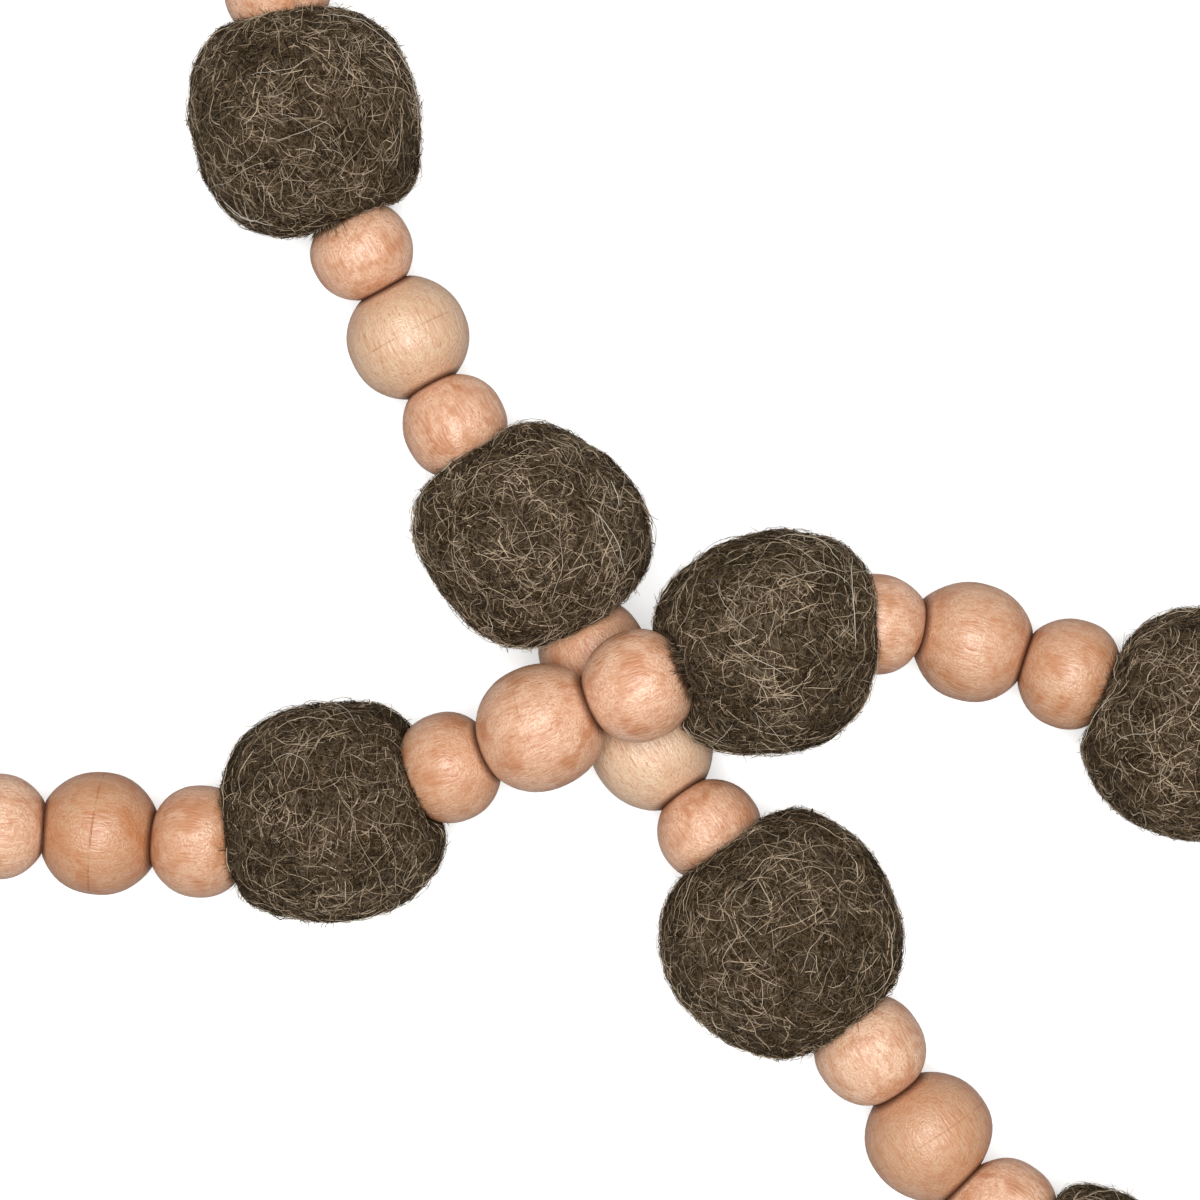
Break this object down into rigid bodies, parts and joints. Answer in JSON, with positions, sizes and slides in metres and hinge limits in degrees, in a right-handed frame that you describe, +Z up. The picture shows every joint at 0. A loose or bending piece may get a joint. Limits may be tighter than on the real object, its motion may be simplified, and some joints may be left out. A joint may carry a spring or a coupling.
{
  "type": "felt ball and wooden bead garland",
  "caption": "Garland of dark brown wool felt balls and round wooden beads on one knotted string, lying in a loop that crosses itself.",
  "frame": {"origin": "on the table, under the middle of the garland's box", "axes": "+Z up from the table that the garland lies on, +X to the right and +Y to the top as seen from above"},
  "size_m": [0.2634, 0.2616, 0.0323],
  "materials": {
    "wool_felt": "matted wool, dark olive brown, hairy",
    "large_bead_wood": "turned and sanded, satin, pale tan",
    "small_bead_wood": "turned and sanded, satin, peach tan",
    "cotton_string": "twisted cotton, brown"
  },
  "bodies": {
    "root": {"felt_ball_01": "wool_felt", "felt_ball_02": "wool_felt", "felt_ball_03": "wool_felt", "felt_ball_04": "wool_felt", "felt_ball_05": "wool_felt", "felt_ball_06": "wool_felt", "felt_ball_07": "wool_felt", "felt_ball_08": "wool_felt", "felt_ball_09": "wool_felt", "felt_ball_10": "wool_felt", "felt_ball_11": "wool_felt", "large_bead_01": "large_bead_wood", "large_bead_02": "large_bead_wood", "large_bead_03": "large_bead_wood", "large_bead_04": "large_bead_wood", "large_bead_05": "large_bead_wood", "large_bead_06": "large_bead_wood", "large_bead_07": "large_bead_wood", "large_bead_08": "large_bead_wood", "large_bead_09": "large_bead_wood", "large_bead_10": "large_bead_wood", "small_bead_01": "small_bead_wood", "small_bead_02": "small_bead_wood", "small_bead_03": "small_bead_wood", "small_bead_04": "small_bead_wood", "small_bead_05": "small_bead_wood", "small_bead_06": "small_bead_wood", "small_bead_07": "small_bead_wood", "small_bead_08": "small_bead_wood", "small_bead_09": "small_bead_wood", "small_bead_10": "small_bead_wood", "small_bead_11": "small_bead_wood", "small_bead_12": "small_bead_wood", "small_bead_13": "small_bead_wood", "small_bead_14": "small_bead_wood", "small_bead_15": "small_bead_wood", "small_bead_16": "small_bead_wood", "small_bead_17": "small_bead_wood", "small_bead_18": "small_bead_wood", "small_bead_19": "small_bead_wood", "small_bead_20": "small_bead_wood", "string": "cotton_string"}
  },
  "joints": []
}
